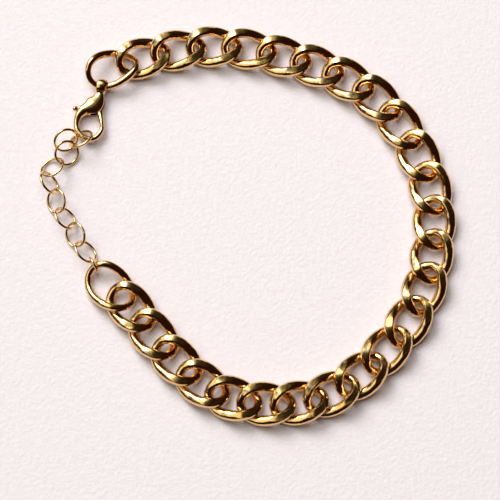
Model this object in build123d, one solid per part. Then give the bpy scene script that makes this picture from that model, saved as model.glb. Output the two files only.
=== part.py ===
from build123d import *
import math
import os

# Millimetres. The bracelet lies on a flat surface, clasped, and is seen from above with +Y to the back.

# Curb links
link_length = 11.5
link_width = 8.6
link_end_wire = 1.45          # plan width of the wire at a link's two ends
link_side_wire = 2.1          # plan width of the wire along its two sides
link_wire_height = 1.45
link_crossing_gap = 0.45      # clear height between two crossing wires
link_stations = 24
link_wire_sides = 6

# Lobster clasp
clasp_length = 11.7           # from the middle of the eye to the far side of the hook
clasp_width = 6.1             # from the outer side of the shank to the outer side of the lever
clasp_thickness = 2.5         # of the shoulder
clasp_heading = 258.6         # degrees from +X, from the eye to the hook
clasp_link_angle = 230        # degrees round the first link to the place where the eye holds it
eye_bore = 2.2
eye_wall = 0.5
eye_band_width = 1.6
slot_height = 1.0             # the lever's slot through the shoulder
slot_start = 2.75             # from the middle of the eye to the slot's near and far end
slot_end = 5.75
pivot_along = 3.9             # from the middle of the eye to the lever's pin
pin_diameter = 0.8
pin_length = 2.1
pin_fit = 0.03                # clearance round the pin in the body
lever_fit = 0.06              # clearance round the pin in the lever
lever_side_gap = 0.08         # above and below the lever in its slot
lever_reach = 4.73            # from the pin to the joint line at the hook's end
lever_tip_gap = 0.12          # width of that joint line
lever_hub_diameter = 1.9
lever_tab_angle = -73         # degrees from the clasp's axis to the thumb tab
lever_tab_reach = 4.4         # from the pin to the ball on the thumb tab
lever_tab_width = 0.9
lever_tab_ball = 0.95

# Extender chain
ring_diameter = 5.2
ring_wire = 0.5
ring_stations = 16
ring_wire_sides = 6
connector_diameter = 3.7
connector_wire = 0.5
connector_link_angle = -12    # degrees round the last link to the place where the connector holds it
connector_gap = 0.2           # between the connector and the link's wire

# The route of the chain: centres of the curb links, clockwise from the clasp
link_centres = [
    (-27.4, 36.75), (-21.1, 39.3), (-14.2, 40.9), (-7.1, 41.6), (-0.1, 41.0), (6.7, 39.4), (13.3, 37.3),
    (19.4, 34.4), (25.0, 30.4), (29.5, 24.9), (32.9, 18.5), (35.0, 11.9), (35.6, 5.0), (34.9, -1.8),
    (33.3, -8.3), (30.2, -14.7), (25.9, -20.4), (21.0, -25.2), (15.4, -28.8), (9.3, -30.6), (3.1, -30.9),
    (-3.1, -29.9), (-8.9, -27.1), (-13.9, -22.6), (-18.4, -17.5), (-22.7, -12.1), (-26.8, -8.0),
]

# The route of the extender's rings, from the connector to the loose end: centre, plan direction of the
# diameter that lies level, and lean about that diameter. It runs between the two places below, one on
# the last link and one on the clasp's hook.
route_start = (-29.8, -4.05, 2.06)
route_end = (-33.81, 23.67, 1.26)
hooked_ring = 8               # the ring that the hook holds
ring_table = [
    # x, y, z, heading, lean
    (-31.6, -0.95, 1.95, 120, 45),
    (-33.65, 2.4, 1.95, 121, -45),
    (-35.65, 5.8, 1.95, 119, 45),
    (-37.5, 9.25, 1.95, 113, -45),
    (-38.9, 12.95, 2.3, 113, 55),
    (-38.45, 16.35, 1.7, 43, -35),
    (-35.7, 19.25, 1.82, 41, 38),
    (-33.0, 22.2, 1.77, 36, -42),
    (-35.85, 21.75, 2.3, 210, -53),
]

# The clasp's casting from the eye to the hook's end, as shares of its length and width,
# with the oval section's width and height as shares of its width and thickness
body_table = [
    # along, across, width, height, drop
    (0.115, -0.03, 0.18, 0.36, 0.0),
    (0.170, -0.05, 0.31, 0.60, 0.5),
    (0.255, -0.08, 0.48, 0.86, 1.0),
    (0.355, -0.17, 0.50, 1.00, 1.0),
    (0.440, -0.32, 0.40, 0.94, 1.0),
    (0.530, -0.44, 0.29, 0.76, 1.0),
    (0.640, -0.52, 0.21, 0.60, 1.0),
    (0.780, -0.51, 0.18, 0.52, 1.0),
    (0.876, -0.39, 0.165, 0.50, 1.0),
    (0.942, -0.20, 0.15, 0.49, 1.0),
    (0.957, -0.02, 0.15, 0.49, 1.0),
    (0.917, 0.15, 0.155, 0.49, 1.0),
    (0.848, 0.26, 0.15, 0.49, 1.0),
    (0.760, 0.32, 0.14, 0.49, 1.0),
    (0.680, 0.33, 0.13, 0.48, 1.0),
]

hook_hold = (0.876, -0.39, 1.0)   # along, across and drop of the place where the hook holds the extender

# The lever's arm from the pin to its tip, in the same shares
lever_table = [
    # along, across, width, height, drop
    (0.350, 0.02, 0.20, 0.32, 1.0),
    (0.455, 0.13, 0.18, 0.33, 1.0),
    (0.540, 0.20, 0.14, 0.44, 1.0),
    (0.630, 0.27, 0.12, 0.48, 1.0),
    (0.740, 0.34, 0.12, 0.48, 1.0),
]

link_half_length = (link_length - link_end_wire) / 2
link_half_width = (link_width - link_side_wire) / 2
link_twist = (link_wire_height + link_crossing_gap) / 2
link_mid_height = link_twist + link_wire_height / 2
eye_height = eye_bore / 2 + eye_wall
clasp_drop = eye_height - clasp_thickness / 2
last_link = len(link_centres) - 1


def closed_tube(stations):
    """A closed ring of flat triangles through equal polygons of points."""
    faces = []
    count = len(stations)
    sides = len(stations[0])
    for i in range(count):
        here = stations[i]
        there = stations[(i + 1) % count]
        for j in range(sides):
            k = (j + 1) % sides
            faces.append(Face(Wire.make_polygon([here[j], there[j], there[k]])))
            faces.append(Face(Wire.make_polygon([here[j], there[k], here[k]])))
    return Solid(Shell(faces))


def wire_section(centre, outward, width, height, sides):
    """Corners of a wire's section, with a flat above and below when it has six sides."""
    flat = math.sin(math.pi / 3)
    corners = []
    for j in range(sides):
        angle = 2 * math.pi * j / sides
        across = width / 2 * math.cos(angle)
        rise = height / 2 * math.sin(angle) / flat
        corners.append(centre + outward * across + Vector(0, 0, rise))
    return corners


def link_point(angle):
    """Middle of a link's wire, in the link's own frame."""
    x = link_half_length * math.cos(angle)
    y = link_half_width * math.sin(angle)
    z = -link_twist * math.sin(2 * angle)
    return Vector(x, y, z)


def make_link():
    stations = []
    for i in range(link_stations):
        angle = 2 * math.pi * i / link_stations
        outward = Vector(link_half_width * math.cos(angle), link_half_length * math.sin(angle), 0).normalized()
        width = math.hypot(link_end_wire * math.cos(angle), link_side_wire * math.sin(angle))
        stations.append(wire_section(link_point(angle), outward, width, link_wire_height, link_wire_sides))
    return closed_tube(stations)


def make_ring(diameter, wire):
    stations = []
    for i in range(ring_stations):
        angle = 2 * math.pi * i / ring_stations
        outward = Vector(math.cos(angle), math.sin(angle), 0)
        stations.append(wire_section(outward * ((diameter - wire) / 2), outward, wire, wire, ring_wire_sides))
    return closed_tube(stations)


def link_heading(i):
    """Plan direction of link i, from the centres of its neighbours."""
    before = Vector(*link_centres[max(i - 1, 0)])
    after = Vector(*link_centres[min(i + 1, last_link)])
    return (after - before).normalized()


def link_plane(i):
    """Frame of link i. The clasp's eye props up the first link's free end, about where it interlocks."""
    forward = link_heading(i)
    side = Vector(-forward.Y, forward.X, 0)
    centre = Vector(link_centres[i][0], link_centres[i][1], link_mid_height)
    if i == 0:
        held = link_point(math.radians(clasp_link_angle))
        interlock = (Vector(*link_centres[1]) - Vector(*link_centres[0])).length / 2
        rise = math.asin((eye_height - link_mid_height - held.Z) / (interlock + abs(held.X)))
        centre += Vector(0, 0, interlock * math.sin(rise))
        forward = forward * math.cos(rise) - Vector(0, 0, math.sin(rise))
    return Plane(origin=centre, x_dir=forward, z_dir=forward.cross(side))


def on_link(i, degrees):
    """Middle of link i's wire at this angle, where it lies."""
    return link_plane(i).from_local_coords(link_point(math.radians(degrees)))


def clasp_point(along, across, drop):
    return Vector(along * clasp_length, across * clasp_width, -drop * clasp_drop)


def bent_rod(rows):
    """A rod lofted through oval sections, one for each row of a table."""
    points = [clasp_point(row[0], row[1], row[4]) for row in rows]
    sections = []
    for i, row in enumerate(rows):
        run = points[min(i + 1, len(points) - 1)] - points[max(i - 1, 0)]
        along = Vector(run.X, run.Y, 0).normalized()
        plane = Plane(origin=points[i], x_dir=Vector(-along.Y, along.X, 0), z_dir=along)
        sections.append(plane * Ellipse(row[2] * clasp_width / 2, row[3] * clasp_thickness / 2))
    return loft(sections)


def at_pivot(shape):
    return Pos(pivot_along, 0, -clasp_drop) * shape


def make_clasp_body():
    """Hook, shoulder, neck and eye, with the lever's slot, the pin's bore and room for the lever's tip."""
    eye_section = Pos((eye_bore + eye_wall) / 2, 0) * Ellipse(eye_wall / 2, eye_band_width / 2)
    body = bent_rod(body_table) + revolve(eye_section, Axis.Y)
    slot = Box(slot_end - slot_start, 2 * clasp_width, slot_height)
    body -= Pos((slot_start + slot_end) / 2, 0, -clasp_drop) * slot
    body -= at_pivot(Cylinder(pin_diameter / 2 + pin_fit, 2 * clasp_thickness))
    tip_room = Cylinder(lever_reach + lever_tip_gap / 2, 2 * clasp_thickness)
    lever_side = Pos(lever_reach, clasp_width / 2) * Box(lever_reach, clasp_width, 2 * clasp_thickness)
    return body - at_pivot(tip_room & lever_side)


def make_clasp_lever():
    """Gate, hub and thumb tab, which swing together about the pin."""
    plate_height = slot_height - 2 * lever_side_gap
    tab = Pos(lever_tab_reach / 2, 0) * Box(lever_tab_reach, lever_tab_width, plate_height)
    ball = Pos(lever_tab_reach, 0) * Sphere(lever_tab_ball / 2)
    lever = Cylinder(lever_hub_diameter / 2, plate_height) + Rot(0, 0, lever_tab_angle) * (tab + ball)
    reach = at_pivot(Cylinder(lever_reach - lever_tip_gap / 2, 2 * clasp_thickness))
    lever = at_pivot(lever) + (bent_rod(lever_table) & reach)
    return lever - at_pivot(Cylinder(pin_diameter / 2 + lever_fit, 2 * clasp_thickness))


def make_clasp_pin():
    return at_pivot(Cylinder(pin_diameter / 2, pin_length))


def clasp_plane():
    heading = math.radians(clasp_heading)
    forward = Vector(math.cos(heading), math.sin(heading), 0)
    return Plane(origin=on_link(0, clasp_link_angle), x_dir=forward, z_dir=(0, 0, 1))


def ring_centre(i):
    """Ring i of the route, which follows the last link at its start and the hook at its end."""
    share = min((i + 1) / hooked_ring, 1)
    start_shift = on_link(last_link, connector_link_angle) - Vector(*route_start)
    end_shift = clasp_plane().from_local_coords(clasp_point(*hook_hold)) - Vector(*route_end)
    return Vector(*ring_table[i][:3]) + start_shift * (1 - share) + end_shift * share


def ring_plane(i):
    heading, lean = ring_table[i][3:]
    level = Vector(math.cos(math.radians(heading)), math.sin(math.radians(heading)), 0)
    side = Vector(-level.Y, level.X, 0)
    steep = side * math.cos(math.radians(lean)) + Vector(0, 0, math.sin(math.radians(lean)))
    return Plane(origin=ring_centre(i), x_dir=level, z_dir=level.cross(steep))


def connector_plane():
    """The connector stands upright between the last link's wire and the first ring of the extender."""
    held = on_link(last_link, connector_link_angle)
    first_ring = ring_centre(0)
    outward = Vector(first_ring.X - held.X, first_ring.Y - held.Y, 0).normalized()
    bore_radius = connector_diameter / 2 - connector_wire
    reach = bore_radius - link_end_wire / 2 - connector_gap
    return Plane(origin=held + outward * reach, x_dir=outward, z_dir=Vector(-outward.Y, outward.X, 0))


def make_pieces():
    """Every piece of the bracelet where it lies, by its name."""
    pieces = {}
    link = make_link()
    for i in range(len(link_centres)):
        pieces[f"curb_link_{i + 1:02d}"] = link_plane(i).location * link
    clasp = clasp_plane().location
    pieces["clasp_body"] = clasp * make_clasp_body()
    pieces["clasp_lever"] = clasp * make_clasp_lever()
    pieces["clasp_pin"] = clasp * make_clasp_pin()
    pieces["connector_ring"] = connector_plane().location * make_ring(connector_diameter, connector_wire)
    ring = make_ring(ring_diameter, ring_wire)
    for i in range(len(ring_table)):
        pieces[f"extender_ring_{i + 1}"] = ring_plane(i).location * ring
    return pieces


# The origin is the bottom centre of the whole bracelet
pieces = make_pieces()
box = Compound(list(pieces.values())).bounding_box()
origin = Pos(-box.center().X, -box.center().Y, -box.min.Z)
pin_place = origin * clasp_plane().location * Pos(pivot_along, 0, -clasp_drop)
print("lever pin at", pin_place.position)
print("bracelet size", box.size)

os.makedirs("parts", exist_ok=True)
for name, piece in pieces.items():
    export_step(origin * piece, f"parts/{name}.step")
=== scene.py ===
import math
import bmesh
import bpy
import numpy as np
from mathutils import Matrix, Vector


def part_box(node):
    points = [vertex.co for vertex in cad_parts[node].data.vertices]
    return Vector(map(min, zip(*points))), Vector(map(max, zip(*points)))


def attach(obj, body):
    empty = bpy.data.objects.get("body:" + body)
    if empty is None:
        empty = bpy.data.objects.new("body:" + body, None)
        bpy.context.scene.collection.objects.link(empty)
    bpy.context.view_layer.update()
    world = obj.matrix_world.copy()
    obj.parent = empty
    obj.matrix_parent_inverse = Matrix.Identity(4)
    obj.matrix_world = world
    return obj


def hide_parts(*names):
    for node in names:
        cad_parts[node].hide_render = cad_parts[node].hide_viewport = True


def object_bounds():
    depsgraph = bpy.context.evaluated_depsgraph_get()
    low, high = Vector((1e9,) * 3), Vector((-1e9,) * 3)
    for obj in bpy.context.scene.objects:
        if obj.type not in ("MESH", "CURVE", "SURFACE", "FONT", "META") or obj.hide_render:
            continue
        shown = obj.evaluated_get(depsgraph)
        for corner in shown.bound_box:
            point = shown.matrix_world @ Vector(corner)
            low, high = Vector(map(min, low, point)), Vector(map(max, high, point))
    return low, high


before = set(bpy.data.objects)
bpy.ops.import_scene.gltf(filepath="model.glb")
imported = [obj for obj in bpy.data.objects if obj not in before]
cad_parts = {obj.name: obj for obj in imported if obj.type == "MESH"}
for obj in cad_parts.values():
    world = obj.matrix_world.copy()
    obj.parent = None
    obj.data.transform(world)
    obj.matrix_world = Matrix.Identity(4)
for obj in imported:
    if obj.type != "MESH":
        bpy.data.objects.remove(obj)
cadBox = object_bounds()

mm = 0.001  # the frame is in metres
linkNodes = sorted(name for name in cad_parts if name.startswith("curb_link"))
ringNodes = sorted(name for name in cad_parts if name.startswith("extender_ring"))
print("frame loaded:", len(linkNodes), "links,", len(ringNodes), "extender rings")

shot = {
    "target": (0.496, -5.353, 0.0),  # mm, under the middle of the picture
    "elevation": 73.0,
    "distance": 420.0,
    "lens": 156.3,
}


def placeCamera():
    data = bpy.data.cameras.new("overhead")
    data.lens = shot["lens"]
    data.clip_start = 0.01
    camera = bpy.data.objects.new("overhead", data)
    tilt = math.radians(shot["elevation"])
    back = Vector((0, -math.cos(tilt), math.sin(tilt)))
    camera.location = (Vector(shot["target"]) + back * shot["distance"]) * mm
    camera.rotation_euler = (math.pi / 2 - tilt, 0, 0)
    bpy.context.scene.collection.objects.link(camera)
    bpy.context.scene.camera = camera


placeCamera()
bpy.context.scene.view_settings.view_transform = "Standard"
print("camera placed")


class Amount:
    # a value in a node tree, so that a rule reads as plain arithmetic
    def __init__(self, tree, socket):
        self.tree = tree
        self.socket = socket

    def put(self, target):
        if isinstance(self.socket, (int, float)):
            target.default_value = self.socket
        else:
            self.tree.links.new(self.socket, target)

    def run(self, operation, *others):
        node = self.tree.nodes.new("ShaderNodeMath")
        node.operation = operation
        self.put(node.inputs[0])
        for slot, other in zip(node.inputs[1:], others):
            (other if isinstance(other, Amount) else Amount(self.tree, other)).put(slot)
        return Amount(self.tree, node.outputs[0])

    def __add__(self, other):
        return self.run("ADD", other)

    def __sub__(self, other):
        return self.run("SUBTRACT", other)

    def __mul__(self, other):
        return self.run("MULTIPLY", other)

    def __truediv__(self, other):
        return self.run("DIVIDE", other)

    def __rsub__(self, other):
        return self.run("MULTIPLY", -1).run("ADD", other)

    def sin(self):
        return self.run("SINE")

    def cos(self):
        return self.run("COSINE")

    def abs(self):
        return self.run("ABSOLUTE")

    def root(self):
        return self.run("SQRT")

    def least(self, other):
        return self.run("MINIMUM", other)

    def most(self, other):
        return self.run("MAXIMUM", other)

    def within(self, low, high):
        return self.most(low).least(high)

    def above(self, other):
        return self.run("GREATER_THAN", other)


def socketKind(value):
    return "NodeSocketInt" if isinstance(value, int) else "NodeSocketFloat"


def shapeTree(name, sizes):
    # a Geometry Nodes tree with one named input for each size
    tree = bpy.data.node_groups.new(name, "GeometryNodeTree")
    tree.interface.new_socket("Places", in_out="INPUT", socket_type="NodeSocketGeometry")
    tree.interface.new_socket("Shape", in_out="OUTPUT", socket_type="NodeSocketGeometry")
    for label, value in sizes.items():
        made = tree.interface.new_socket(label, in_out="INPUT", socket_type=socketKind(value))
        made.default_value = value
    tree.interface.new_socket("Finish", in_out="INPUT", socket_type="NodeSocketMaterial")
    given = tree.nodes.new("NodeGroupInput")
    amounts = {label: Amount(tree, given.outputs[label]) for label in sizes}
    return tree, given, amounts


def scatter(tree, given, shape):
    # one copy of the shape at each place, turned as the place says, made real and painted
    turn = tree.nodes.new("GeometryNodeInputNamedAttribute")
    turn.data_type = "QUATERNION"
    turn.inputs["Name"].default_value = "turn"
    copies = tree.nodes.new("GeometryNodeInstanceOnPoints")
    real = tree.nodes.new("GeometryNodeRealizeInstances")
    paint = tree.nodes.new("GeometryNodeSetMaterial")
    result = tree.nodes.new("NodeGroupOutput")
    join = tree.links.new
    join(given.outputs["Places"], copies.inputs["Points"])
    join(shape, copies.inputs["Instance"])
    join(turn.outputs["Attribute"], copies.inputs["Rotation"])
    join(copies.outputs["Instances"], real.inputs["Geometry"])
    join(real.outputs["Geometry"], paint.inputs["Geometry"])
    join(given.outputs["Finish"], paint.inputs["Material"])
    join(paint.outputs["Geometry"], result.inputs["Shape"])


def placesObject(name, poses):
    # one vertex for each copy, with its turn
    data = bpy.data.meshes.new(name)
    data.from_pydata([pose.translation for pose in poses], [], [])
    turns = data.attributes.new("turn", "QUATERNION", "POINT")
    turns.data.foreach_set("value", [part for pose in poses for part in pose.to_quaternion()])
    made = bpy.data.objects.new(name, data)
    bpy.context.scene.collection.objects.link(made)
    return made


def grow(places, tree, sizes, finish):
    # runs the tree on its places and keeps the result as a plain mesh
    modifier = places.modifiers.new("shape", "NODES")
    modifier.node_group = tree
    for item in tree.interface.items_tree:
        if item.item_type == "SOCKET" and item.in_out == "INPUT":
            if item.name in sizes:
                modifier[item.identifier] = sizes[item.name]
            elif item.name == "Finish":
                modifier[item.identifier] = finish
    view = bpy.context.evaluated_depsgraph_get()
    grown = bpy.data.meshes.new_from_object(places.evaluated_get(view), depsgraph=view)
    places.modifiers.clear()
    places.data = grown
    return places


def nodePose(node, toward=None):
    # middle and own axes of a CAD link or ring: long way, cross way, and the way it faces
    corners = np.array([corner.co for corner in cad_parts[node].data.vertices])
    middle = corners.mean(0)
    ways = np.linalg.eigh(np.cov((corners - middle).T))[1]
    face = Vector(ways[:, 0])
    face = face if face.z > 0 else -face
    along = Vector(ways[:, 2])
    if toward and along.dot(nodePose(toward).translation - Vector(middle)) < 0:
        along = -along
    across = face.cross(along)
    pose = Matrix((along, across, face)).transposed().to_4x4()
    pose.translation = Vector(middle)
    return pose


wearLayers = {
    # name: times the finish's own scale, and detail
    "broad": (0.12, 2.0),
    "dents": (0.3, 1.0),
    "cloud": (0.6, 4.0),
    "grain": (6.0, 3.0),
}
wearMix = {
    "clearCloud": 0.42,     # below this much cloud the metal stays polished
    "grainSmudge": 0.15,
    "grainHeight": 0.06,
    "dentHeight": 3.5,
}


def wearGroup():
    # fine handling marks and a slow drift of tone, shared by every gold finish
    group = bpy.data.node_groups.new("plating wear", "ShaderNodeTree")
    for label in ("Scale", "Drift", "Smudge", "Polish"):
        group.interface.new_socket(label, in_out="INPUT", socket_type="NodeSocketFloat")
    group.interface.new_socket("Tone", in_out="OUTPUT", socket_type="NodeSocketFloat")
    group.interface.new_socket("Roughness", in_out="OUTPUT", socket_type="NodeSocketFloat")
    group.interface.new_socket("Height", in_out="OUTPUT", socket_type="NodeSocketFloat")
    given = group.nodes.new("NodeGroupInput")
    result = group.nodes.new("NodeGroupOutput")
    place = group.nodes.new("ShaderNodeTexCoord")
    asked = [Amount(group, given.outputs[label]) for label in ("Scale", "Drift", "Smudge", "Polish")]
    scale, drift, smudge, polish = asked

    def noise(layer):
        times, detail = wearLayers[layer]
        made = group.nodes.new("ShaderNodeTexNoise")
        made.inputs["Detail"].default_value = detail
        group.links.new(place.outputs["Object"], made.inputs["Vector"])
        (scale * times).put(made.inputs["Scale"])
        return Amount(group, made.outputs["Fac"])

    broad = noise("broad")
    dents = noise("dents")
    cloud = noise("cloud")
    grain = noise("grain")
    dulled = (cloud - wearMix["clearCloud"]).most(0.0) * smudge
    scuffed = (grain - 0.5).abs() * smudge * wearMix["grainSmudge"]
    ((broad - 0.5) * drift + 0.5).put(result.inputs["Tone"])
    (polish + dulled + scuffed).put(result.inputs["Roughness"])
    (grain * wearMix["grainHeight"] + cloud + dents * wearMix["dentHeight"]).put(result.inputs["Height"])
    return group


platingWear = wearGroup()


# the clear lacquer over the plating, which pales the highlights
lacquer = {"weight": 1.0, "bend": 1.8, "roughness": 0.04}


def goldFinish(name, light, deep, wear, ripple):
    finish = bpy.data.materials.new(name)
    finish.use_nodes = True
    nodes = finish.node_tree.nodes
    join = finish.node_tree.links.new
    metal = nodes["Principled BSDF"]
    metal.inputs["Metallic"].default_value = 1.0
    metal.inputs["Coat Weight"].default_value = lacquer["weight"]
    metal.inputs["Coat IOR"].default_value = lacquer["bend"]
    metal.inputs["Coat Roughness"].default_value = lacquer["roughness"]
    marks = nodes.new("ShaderNodeGroup")
    marks.node_tree = platingWear
    for label, value in wear.items():
        marks.inputs[label].default_value = value
    tone = nodes.new("ShaderNodeMix")
    tone.data_type = "RGBA"
    tone.inputs["A"].default_value = (*deep, 1)
    tone.inputs["B"].default_value = (*light, 1)
    relief = nodes.new("ShaderNodeBump")
    relief.inputs["Strength"].default_value = ripple["strength"]
    relief.inputs["Distance"].default_value = ripple["depth"] * mm
    join(marks.outputs["Tone"], tone.inputs["Factor"])
    join(tone.outputs["Result"], metal.inputs["Base Color"])
    join(marks.outputs["Roughness"], metal.inputs["Roughness"])
    join(marks.outputs["Height"], relief.inputs["Height"])
    join(relief.outputs["Normal"], metal.inputs["Normal"])
    return finish


chainGold = goldFinish(
    "polished curb gold", light=(0.86, 0.54, 0.20), deep=(0.74, 0.41, 0.11),
    wear={"Scale": 900.0, "Drift": 0.9, "Smudge": 0.35, "Polish": 0.06},
    ripple={"strength": 1.0, "depth": 0.11})
claspGold = goldFinish(
    "cast clasp gold", light=(0.84, 0.52, 0.20), deep=(0.72, 0.40, 0.11),
    wear={"Scale": 1100.0, "Drift": 0.9, "Smudge": 0.35, "Polish": 0.08},
    ripple={"strength": 0.6, "depth": 0.05})
wireGold = goldFinish(
    "pale ring gold", light=(0.90, 0.62, 0.26), deep=(0.80, 0.49, 0.16),
    wear={"Scale": 1200.0, "Drift": 0.8, "Smudge": 0.4, "Polish": 0.07},
    ripple={"strength": 0.25, "depth": 0.015})
print("gold finishes made")

curbLink = {
    "Length": 11.5 * mm,
    "Width": 8.6 * mm,
    "End Wire": 1.8 * mm,
    "Side Wire": 2.1 * mm,
    "End Height": 1.6 * mm,
    "Side Height": 1.95 * mm,
    "Twist": 1.0 * mm,          # how far the crests rise and the troughs sink
    "Cut Height": 0.74 * mm,    # of the flat on a crest, above the wire's middle
    "Cut Share": 0.1,           # of the points round the wire, on each side of a cut's middle
    "Cut Start": 0.35,          # how high up the twist a cut begins
    "Lean": 0.12,               # radians that the cuts lean outwards
    "Rear Cut": 1.0,            # 0 leaves the wire round at a free end
    "Front Cut": 1.0,
    "Stations": 80,
    "Sides": 40,
}
curbFinish = {
    "endFade": 4.0,        # how sharply a free end goes over to the cut end
    "cutFull": 0.95,       # how high up the twist a cut has its full width
    "flattest": 0.99,      # the cut's height is never a larger share of the wire
    "leastCut": 0.06,      # radians, which keeps the wire's faces open where it is round
    "crease": 0.35,        # radians, past which an edge of a cut stays sharp
    "weld": 0.001 * mm,
}


def curbTree():
    tree, given, size = shapeTree("curb chain", curbLink)
    grid = tree.nodes.new("GeometryNodeMeshGrid")
    grid.inputs["Size X"].default_value = 1.0
    grid.inputs["Size Y"].default_value = 1.0
    (size["Stations"] + 1).put(grid.inputs["Vertices X"])
    (size["Sides"] + 1).put(grid.inputs["Vertices Y"])
    flat = tree.nodes.new("ShaderNodeSeparateXYZ")
    tree.links.new(tree.nodes.new("GeometryNodeInputPosition").outputs[0], flat.inputs[0])
    turn = (Amount(tree, flat.outputs["X"]) + 0.5) * (2 * math.pi)
    part = Amount(tree, flat.outputs["Y"])

    # the wire's middle line: an oval that rises over one neighbour and dives under the other
    longRadius = (size["Length"] - size["End Wire"]) * 0.5
    shortRadius = (size["Width"] - size["Side Wire"]) * 0.5
    lift = (turn * 2).sin() * -1
    outX = turn.cos() * shortRadius
    outY = turn.sin() * longRadius
    outSize = (outX * outX + outY * outY).root()

    def between(end, side):
        endPart = turn.cos() * size[end]
        sidePart = turn.sin() * size[side]
        return (endPart * endPart + sidePart * sidePart).root() * 0.5

    halfWide = between("End Wire", "Side Wire")
    halfHigh = between("End Height", "Side Height")

    # the cut on the crest above and on the trough below
    fullCut = (size["Cut Height"] / halfHigh).least(curbFinish["flattest"]).run("ARCCOSINE")

    front = (turn.cos() * curbFinish["endFade"] + 0.5).within(0.0, 1.0)
    wanted = front * size["Front Cut"] + (1.0 - front) * size["Rear Cut"]

    def cutAngle(height):
        climb = curbFinish["cutFull"] - size["Cut Start"]
        raised = ((height - size["Cut Start"]) / climb).within(0.0, 1.0)
        return (raised.root() * fullCut * wanted).most(curbFinish["leastCut"])

    topCut = cutAngle(lift)
    lowCut = cutAngle(lift * -1)
    side = part.run("SIGN")
    down = 1.0 - (part * 2).abs()          # 0 at the top of the wire, 1 underneath
    share = size["Cut Share"] * 2
    way = ((down - share) / (1.0 - share * 2)).within(0.0, 1.0)
    swing = topCut + way * (math.pi - topCut - lowCut)
    nearTop = (down / share).least(1.0)
    nearLow = ((1.0 - down) / share).least(1.0)
    across = side * halfWide * swing.sin() * nearTop * nearLow
    rise = halfHigh * swing.cos()
    lean = lift * size["Lean"]
    out = across * lean.cos() + rise * lean.sin()
    up = rise * lean.cos() - across * lean.sin()

    spot = tree.nodes.new("ShaderNodeCombineXYZ")
    (turn.cos() * longRadius + out * outX / outSize).put(spot.inputs["X"])
    (turn.sin() * shortRadius + out * outY / outSize).put(spot.inputs["Y"])
    (lift * size["Twist"] + up).put(spot.inputs["Z"])
    bend = tree.nodes.new("GeometryNodeSetPosition")
    weld = tree.nodes.new("GeometryNodeMergeByDistance")
    weld.inputs["Distance"].default_value = curbFinish["weld"]
    smooth = tree.nodes.new("GeometryNodeSetShadeSmooth")
    crease = tree.nodes.new("GeometryNodeInputMeshEdgeAngle")
    edges = tree.nodes.new("GeometryNodeSetShadeSmooth")
    edges.domain = "EDGE"
    edges.inputs["Shade Smooth"].default_value = False
    join = tree.links.new
    join(grid.outputs["Mesh"], bend.inputs["Geometry"])
    join(spot.outputs["Vector"], bend.inputs["Position"])
    join(bend.outputs["Geometry"], weld.inputs["Geometry"])
    join(weld.outputs["Geometry"], smooth.inputs["Geometry"])
    join(smooth.outputs["Geometry"], edges.inputs["Geometry"])
    sharp = Amount(tree, crease.outputs["Unsigned Angle"]).above(curbFinish["crease"])
    sharp.put(edges.inputs["Selection"])
    scatter(tree, given, edges.outputs["Geometry"])
    return tree


# the two slimmer end links: the clasp's eye rides on the first, drawn in a little, and the last
# carries the extender
endLinks = {
    "drawnIn": 0.2 * mm,
    "atClasp": {
        "Rear Cut": 0.0, "Length": 11.1 * mm, "Width": 8.3 * mm, "End Wire": 1.2 * mm,
        "End Height": 1.25 * mm, "Side Wire": 1.6 * mm, "Side Height": 1.6 * mm},
    "atExtender": {
        "Rear Cut": 0.0, "End Wire": 1.35 * mm, "End Height": 1.4 * mm, "Side Wire": 1.6 * mm,
        "Side Height": 1.65 * mm},
}
cutLinks = curbTree()
firstPose = nodePose(linkNodes[0], linkNodes[1]) @ Matrix.Translation((endLinks["drawnIn"], 0, 0))
lastPose = nodePose(linkNodes[-1], linkNodes[-2])
middlePoses = [nodePose(node) for node in linkNodes[1:-1]]
for name, nodes, poses, change in (
        ("curb_chain", linkNodes[1:-1], middlePoses, {}),
        ("curb_link_at_clasp", linkNodes[:1], [firstPose], endLinks["atClasp"]),
        ("curb_link_at_extender", linkNodes[-1:], [lastPose], endLinks["atExtender"])):
    links = grow(placesObject(name, poses), cutLinks, dict(curbLink, **change), chainGold)
    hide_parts(*nodes)
    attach(links, "bracelet")
    print(name, len(links.data.polygons), "faces")

thinRing = {
    "Diameter": 5.2 * mm,
    "Wire": 0.54 * mm,
    "Cut": 0.0035,        # share of the round left open where the wire's ends meet
    "Stations": 72,
    "Sides": 14,
}


def ringTree():
    tree, given, size = shapeTree("cut rings", thinRing)
    hoopLine = tree.nodes.new("GeometryNodeCurvePrimitiveCircle")
    ends = tree.nodes.new("GeometryNodeTrimCurve")
    wire = tree.nodes.new("GeometryNodeCurvePrimitiveCircle")
    sweep = tree.nodes.new("GeometryNodeCurveToMesh")
    sweep.inputs["Fill Caps"].default_value = True
    size["Stations"].put(hoopLine.inputs["Resolution"])
    ((size["Diameter"] - size["Wire"]) * 0.5).put(hoopLine.inputs["Radius"])
    size["Sides"].put(wire.inputs["Resolution"])
    (size["Wire"] * 0.5).put(wire.inputs["Radius"])
    (1.0 - size["Cut"]).put(ends.inputs["End"])
    join = tree.links.new
    join(hoopLine.outputs["Curve"], ends.inputs["Curve"])
    join(ends.outputs["Curve"], sweep.inputs["Curve"])
    join(wire.outputs["Curve"], sweep.inputs["Profile Curve"])
    smooth = tree.nodes.new("GeometryNodeSetShadeSmooth")
    join(sweep.outputs["Mesh"], smooth.inputs["Geometry"])
    scatter(tree, given, smooth.outputs["Geometry"])
    return tree


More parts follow.
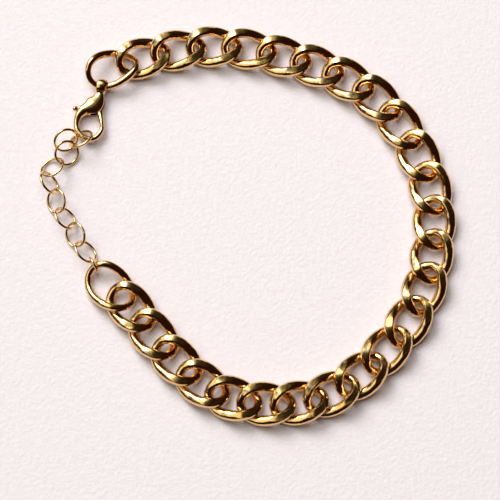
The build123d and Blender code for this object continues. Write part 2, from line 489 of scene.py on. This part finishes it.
cutRings = ringTree()
connectorRing = dict(thinRing, Diameter=3.7 * mm)
ringPoses = [nodePose(node) for node in ringNodes]
extender = grow(placesObject("extender_rings", ringPoses), cutRings, thinRing, wireGold)
connectorPlace = placesObject("connector_jump_ring", [nodePose("connector_ring")])
connector = grow(connectorPlace, cutRings, connectorRing, wireGold)
for piece, nodes in ((extender, ringNodes), (connector, ["connector_ring"])):
    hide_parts(*nodes)
    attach(piece, "bracelet")
print("rings made")

clasp = {
    "heading": 258.6,      # degrees, from the eye to the hook
    "pivot": 3.9,          # mm from the middle of the eye to the lever's pin
    "grain": 0.065,        # mm, how finely the casting is resolved
    "leverGrain": 0.06,
    "middle": -0.35,       # mm, the shoulder's middle from the eye's
    "soften": 4,
}

# mm along the clasp and across it, half width, half height, and height above the eye's middle
castingRows = [
    (1.25, 0.30, 0.55, 0.50, 0.0),
    (1.75, 0.32, 0.90, 0.76, -0.12),
    (2.40, 0.22, 1.36, 1.00, -0.30),
    (3.10, 0.02, 1.72, 1.15, -0.35),
    (3.80, -0.32, 1.94, 1.25, -0.35),
    (4.35, -0.74, 1.88, 1.25, -0.35),
    (4.90, -1.40, 1.50, 1.20, -0.35),
    (5.50, -2.15, 1.14, 1.12, -0.35),
    (6.62, -2.80, 0.82, 0.92, -0.35),
    (7.70, -2.97, 0.66, 0.76, -0.35),
    (8.75, -2.88, 0.56, 0.68, -0.35),
    (9.60, -2.55, 0.56, 0.70, -0.35),
    (10.40, -1.80, 0.57, 0.72, -0.35),
    (10.98, -0.75, 0.58, 0.72, -0.35),
    (11.08, 0.35, 0.60, 0.72, -0.35),
    (10.70, 1.25, 0.60, 0.70, -0.35),
    (9.95, 1.85, 0.58, 0.68, -0.35),
    (9.00, 2.20, 0.52, 0.64, -0.35),
    (8.05, 2.22, 0.48, 0.62, -0.35),
]

leverRows = [
    (3.95, 0.20, 0.60, 0.40, -0.35),
    (4.90, 0.90, 0.60, 0.41, -0.35),
    (5.70, 1.30, 0.56, 0.46, -0.35),
    (6.70, 1.68, 0.50, 0.56, -0.35),
    (7.60, 2.00, 0.46, 0.61, -0.35),
    (8.66, 2.28, 0.44, 0.62, -0.35),
]


def claspPose():
    low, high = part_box("clasp_pin")
    heading = math.radians(clasp["heading"])
    forward = Vector((math.cos(heading), math.sin(heading), 0))
    side = Vector((-forward.y, forward.x, 0))
    pose = Matrix((forward, side, Vector((0, 0, 1)))).transposed().to_4x4()
    pinMiddle = (low + high) / 2
    pose.translation = pinMiddle - forward * clasp["pivot"] * mm - Vector((0, 0, clasp["middle"] * mm))
    return pose @ Matrix.Scale(mm, 4)


def smoothRows(rows, steps):
    # a soft line through every row
    rows = np.array(rows)
    padded = np.vstack([2 * rows[0] - rows[1], rows, 2 * rows[-1] - rows[-2]])
    filled = []
    for i in range(1, len(rows)):
        a, b, c, d = padded[i - 1:i + 3]
        for t in np.arange(steps) / steps:
            filled.append(0.5 * (2 * b + (c - a) * t + (2 * a - 5 * b + 4 * c - d) * t ** 2
                                 + (3 * b - a - 3 * c + d) * t ** 3))
    return np.array(filled + [rows[-1]])


def rod(shape, rows, steps=8, sides=28, square=2.3):
    # a rod with soft oval sections along a line of rows
    rows = smoothRows(rows, steps)
    runs = np.gradient(rows[:, :2], axis=0)
    loops = []
    for (x, y, wide, high, z), (dx, dy) in zip(rows, runs):
        across = Vector((-dy, dx, 0)).normalized()
        loop = []
        for j in range(sides):
            angle = 2 * math.pi * j / sides
            c, s = math.cos(angle), math.sin(angle)
            c = math.copysign(abs(c) ** (2 / square), c)
            s = math.copysign(abs(s) ** (2 / square), s)
            loop.append(shape.verts.new(Vector((x, y, z + high * s)) + across * wide * c))
        loops.append(loop)
    for here, there in zip(loops, loops[1:]):
        for j in range(sides):
            shape.faces.new((here[j - 1], here[j], there[j], there[j - 1]))
    shape.faces.new(loops[0])
    shape.faces.new(loops[-1][::-1])


def hoop(shape, centre, radius, halfWall, halfBand, steps=64, sides=20):
    # an upright eye of oval section, its bore across the clasp
    loops = []
    for i in range(steps):
        angle = 2 * math.pi * i / steps
        out = Vector((math.cos(angle), 0, math.sin(angle)))
        loop = []
        for j in range(sides):
            swing = 2 * math.pi * j / sides
            loop.append(shape.verts.new(Vector(centre) + out * (radius + halfWall * math.cos(swing))
                                        + Vector((0, halfBand * math.sin(swing), 0))))
        loops.append(loop)
    for i in range(steps):
        for j in range(sides):
            shape.faces.new((loops[i - 1][j - 1], loops[i - 1][j], loops[i][j], loops[i][j - 1]))


def drum(shape, centre, radius, height, sides=48):
    bmesh.ops.create_cone(shape, cap_ends=True, segments=sides, radius1=radius, radius2=radius,
                          depth=height, matrix=Matrix.Translation(centre))


def block(shape, centre, size):
    bmesh.ops.create_cube(shape, size=1.0, matrix=Matrix.Translation(centre) @ Matrix.Diagonal((*size, 1)))


def makePart(name, shape):
    bmesh.ops.recalc_face_normals(shape, faces=shape.faces)
    data = bpy.data.meshes.new(name)
    shape.to_mesh(data)
    shape.free()
    made = bpy.data.objects.new(name, data)
    bpy.context.scene.collection.objects.link(made)
    return made


def settle(part):
    # keeps what the modifiers made as the plain mesh
    view = bpy.context.evaluated_depsgraph_get()
    part.data = bpy.data.meshes.new_from_object(part.evaluated_get(view), depsgraph=view)
    part.modifiers.clear()
    return part


def fuse(part, grain, soften):
    # melts overlapping forms into one casting
    melt = part.modifiers.new("melt", "REMESH")
    melt.mode = "VOXEL"
    melt.voxel_size = grain
    ease = part.modifiers.new("ease", "SMOOTH")
    ease.factor = 0.5
    ease.iterations = soften
    return settle(part)


def carve(part, tool, operation="DIFFERENCE"):
    cut = part.modifiers.new("cut", "BOOLEAN")
    cut.operation = operation
    cut.object = tool
    cut.solver = "EXACT"
    settle(part)
    bpy.data.objects.remove(tool)
    return part


def finishPart(part, pose, material, crease=0.6):
    part.data.transform(pose)
    part.data.materials.clear()
    part.data.materials.append(material)
    part.data.shade_smooth()
    shape = bmesh.new()
    shape.from_mesh(part.data)
    for edge in shape.edges:
        edge.smooth = len(edge.link_faces) == 2 and edge.calc_face_angle() < crease
    shape.to_mesh(part.data)
    shape.free()
    return part


# the sizes of the clasp's details are in mm
eye = {"centre": (0, 0.35, 0), "radius": 1.35, "halfWall": 0.26, "halfBand": 0.95}
slot = {
    "start": 2.75,
    "end": 5.75,
    "height": 1.0,
    "through": 12,         # wide enough to open both flanks of the shoulder
    "swing": 0.5,          # more room beyond the end, on the lever's side alone
    "swingMiddle": 1.4,
    "swingWidth": 4.0,
    "lap": 0.01,           # by which the two rooms run into each other
}
lever = {
    "hub": 0.95,
    "plate": 0.84,
    "bore": 0.46,
    "tabAngle": -69.0,
    "tabReach": 4.15,
    "tabRoot": 0.85,
    "tabEnd": 0.36,
    "tabShares": (0.0, 0.35, 0.7, 1.0),
    "ball": 0.55,
    "sides": 24,
    "reach": 4.73,         # from the pin to the middle of the gap at the tip
    "tipGap": 0.26,
    "tipMiddle": 2.6,
    "tipBlock": (2.6, 3.2, 4),
    "noseMiddle": 3.05,    # of the room for the tip, cut from the hook's nose
    "noseWidth": 4.2,
    "through": 6,
    "arcSides": 160,
}
pin = {
    "radius": 0.4,
    "length": 2.1,
    "dome": 0.12,
    "domeShares": ((0.55, 0.25), (0.9, 0.7)),     # of the radius, and of the dome's height
    "steps": 32,
}
claspFrame = claspPose()
pivot = Vector((clasp["pivot"], 0, clasp["middle"]))


def carveBlock(part, name, centre, size):
    shape = bmesh.new()
    block(shape, centre, size)
    return carve(part, makePart(name, shape))


def makeCasting():
    shape = bmesh.new()
    rod(shape, castingRows)
    hoop(shape, eye["centre"], eye["radius"], eye["halfWall"], eye["halfBand"])
    casting = fuse(makePart("clasp_casting", shape), clasp["grain"], clasp["soften"])
    carveBlock(casting, "slot room", ((slot["start"] + slot["end"]) / 2, 0, pivot.z),
               (slot["end"] - slot["start"], slot["through"], slot["height"]))
    carveBlock(casting, "swing room",
               (slot["end"] + slot["swing"] / 2 - slot["lap"], slot["swingMiddle"], pivot.z),
               (slot["swing"] + 2 * slot["lap"], slot["swingWidth"], slot["height"]))
    tip = bmesh.new()
    drum(tip, pivot, lever["reach"] + lever["tipGap"] / 2, lever["through"], lever["arcSides"])
    tipRoom = makePart("tip room", tip)
    half = bmesh.new()
    block(half, (pivot.x + lever["reach"], lever["noseMiddle"], pivot.z),
          (lever["reach"], lever["noseWidth"], lever["through"]))
    carve(tipRoom, makePart("lever side", half), "INTERSECT")
    carve(casting, tipRoom)
    return finishPart(casting, claspFrame, claspGold)


def tabRow(tabWay, share):
    middle = pivot + tabWay * lever["tabReach"] * share
    halfWide = lever["tabRoot"] + (lever["tabEnd"] - lever["tabRoot"]) * share
    return (middle.x, middle.y, halfWide, lever["plate"] / 2, pivot.z)


def makeLever():
    shape = bmesh.new()
    drum(shape, pivot, lever["hub"], lever["plate"])
    angle = math.radians(lever["tabAngle"])
    tabWay = Vector((math.cos(angle), math.sin(angle), 0))
    rod(shape, [tabRow(tabWay, share) for share in lever["tabShares"]], sides=lever["sides"])
    bmesh.ops.create_uvsphere(shape, u_segments=24, v_segments=16, radius=lever["ball"],
                              matrix=Matrix.Translation(pivot + tabWay * lever["tabReach"]))
    rod(shape, leverRows, sides=lever["sides"])
    gate = fuse(makePart("clasp_gate", shape), clasp["leverGrain"], clasp["soften"])
    reach = bmesh.new()
    drum(reach, pivot, lever["reach"] - lever["tipGap"] / 2, lever["through"], lever["arcSides"])
    beyond = bmesh.new()
    block(beyond, (pivot.x + lever["reach"], lever["tipMiddle"], pivot.z), lever["tipBlock"])
    carve(gate, carve(makePart("beyond the tip", beyond), makePart("tip reach", reach)))
    bore = bmesh.new()
    drum(bore, pivot, lever["bore"], lever["through"])
    carve(gate, makePart("pin bore", bore))
    return finishPart(gate, claspFrame, claspGold)


def makePin():
    shape = bmesh.new()
    half = pin["length"] / 2
    profile = [(0, half)]
    profile += [(pin["radius"] * out, half - pin["dome"] * drop) for out, drop in pin["domeShares"]]
    profile += [(pin["radius"], half - pin["dome"])]
    profile += [(radius, -height) for radius, height in reversed(profile)]
    corners = [shape.verts.new((pivot.x + radius, pivot.y, pivot.z + height)) for radius, height in profile]
    edges = [shape.edges.new(pair) for pair in zip(corners, corners[1:])]
    bmesh.ops.spin(shape, geom=corners + edges, cent=pivot, axis=(0, 0, 1), angle=2 * math.pi,
                   steps=pin["steps"], use_merge=True)
    bmesh.ops.remove_doubles(shape, verts=shape.verts, dist=0.001)
    return finishPart(makePart("clasp_rivet", shape), claspFrame, claspGold)


for piece, node, body in ((makeCasting(), "clasp_body", "bracelet"), (makeLever(), "clasp_lever", "lever"),
                          (makePin(), "clasp_pin", "bracelet")):
    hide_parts(node)
    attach(piece, body)
    print(piece.name, len(piece.data.polygons), "faces")

table = {
    "margin": 0.6,                     # m of paper beyond the bracelet
    "roughness": 0.75,
    "grain": (1400.0, 4.0),            # scale and detail
    "cloud": (700.0, 5.0),
    "relief": (0.8, 0.16 * mm),        # strength and depth of the grain
    "dark": (0.78, 0.71, 0.735),
    "light": (0.86, 0.80, 0.825),
}


def paperFinish():
    finish = bpy.data.materials.new("pale grained paper")
    finish.use_nodes = True
    nodes = finish.node_tree.nodes
    join = finish.node_tree.links.new
    paper = nodes["Principled BSDF"]
    paper.inputs["Roughness"].default_value = table["roughness"]
    place = nodes.new("ShaderNodeTexCoord")

    def noise(scale, detail):
        made = nodes.new("ShaderNodeTexNoise")
        made.inputs["Scale"].default_value = scale
        made.inputs["Detail"].default_value = detail
        join(place.outputs["Object"], made.inputs["Vector"])
        return made.outputs["Fac"]

    relief = nodes.new("ShaderNodeBump")
    relief.inputs["Strength"].default_value, relief.inputs["Distance"].default_value = table["relief"]
    tone = nodes.new("ShaderNodeMix")
    tone.data_type = "RGBA"
    tone.inputs["A"].default_value = (*table["dark"], 1)
    tone.inputs["B"].default_value = (*table["light"], 1)
    join(noise(*table["cloud"]), tone.inputs["Factor"])
    join(tone.outputs["Result"], paper.inputs["Base Color"])
    join(noise(*table["grain"]), relief.inputs["Height"])
    join(relief.outputs["Normal"], paper.inputs["Normal"])
    return finish


def makeTable():
    low, high = cadBox
    span = max(high[0] - low[0], high[1] - low[1])
    shape = bmesh.new()
    bmesh.ops.create_grid(shape, x_segments=8, y_segments=8, size=span / 2 + table["margin"])
    made = makePart("paper_surface", shape)
    for vertex in made.data.vertices:
        vertex.co.z = low[2]
    if made.data.polygons[0].normal.z < 0:
        made.data.flip_normals()
    made.data.materials.append(paperFinish())
    return made


makeTable()

lights = {
    # name: direction in plan and height in degrees, distance and size in m, strength in W, tint
    "window": (114, 61, 0.45, 0.46, 0.76, (1.0, 0.98, 0.99)),
    "ceiling": (114, 86, 0.45, 0.24, 0.37, (1.0, 0.955, 0.93)),
}


def makeLights():
    for name, (heading, height, distance, size, strength, tint) in lights.items():
        data = bpy.data.lights.new(name, "AREA")
        data.shape = "DISK"
        data.size = size
        data.energy = strength
        data.color = tint
        made = bpy.data.objects.new(name, data)
        turn = math.radians(heading)
        rise = math.radians(height)
        plan = math.cos(rise)
        made.location = Vector((math.cos(turn) * plan, math.sin(turn) * plan, math.sin(rise))) * distance
        made.rotation_euler = made.location.to_track_quat("Z", "Y").to_euler()
        made.visible_glossy = False  # the gold mirrors the soft sky below instead
        bpy.context.scene.collection.objects.link(made)


sky = {
    # name: direction, and colours from far off that direction to right on it
    "window": (
        (-0.40, 0.58, 0.70),
        ((0.45, (0.022, 0.009, 0.004)), (0.74, (0.040, 0.032, 0.020)), (0.84, (0.18, 0.19, 0.13)),
         (0.91, (0.64, 0.69, 0.58)), (0.955, (3.2, 3.3, 3.3)), (0.985, (9.0, 9.0, 9.2)))),
    "wall": ((-0.66, -0.10, 0.74), ((0.90, (0, 0, 0)), (0.985, (1.3, 1.3, 1.1)))),
}


def makeSky():
    # a dim room, paler about the window than across from it
    room = bpy.data.worlds.new("dim room")
    room.use_nodes = True
    nodes = room.node_tree.nodes
    join = room.node_tree.links.new
    place = nodes.new("ShaderNodeTexCoord")

    def glow(direction, stops):
        # a soft patch of light in one direction, its colours set by how near the sky is to it
        toward = nodes.new("ShaderNodeVectorMath")
        toward.operation = "DOT_PRODUCT"
        toward.inputs[1].default_value = Vector(direction).normalized()
        fade = nodes.new("ShaderNodeValToRGB")
        steps = fade.color_ramp.elements
        steps[0].position, steps[0].color = stops[0][0], (*stops[0][1], 1)
        steps[1].position, steps[1].color = stops[-1][0], (*stops[-1][1], 1)
        for position, color in stops[1:-1]:
            steps.new(position).color = (*color, 1)
        join(place.outputs["Generated"], toward.inputs[0])
        join(toward.outputs["Value"], fade.inputs["Fac"])
        return fade.outputs["Color"]

    both = nodes.new("ShaderNodeVectorMath")
    both.operation = "ADD"
    join(glow(*sky["window"]), both.inputs[0])
    join(glow(*sky["wall"]), both.inputs[1])
    join(both.outputs["Vector"], nodes["Background"].inputs["Color"])
    nodes["Background"].inputs["Strength"].default_value = 1.0
    bpy.context.scene.world = room


makeLights()
makeSky()
print("surface and lights made")
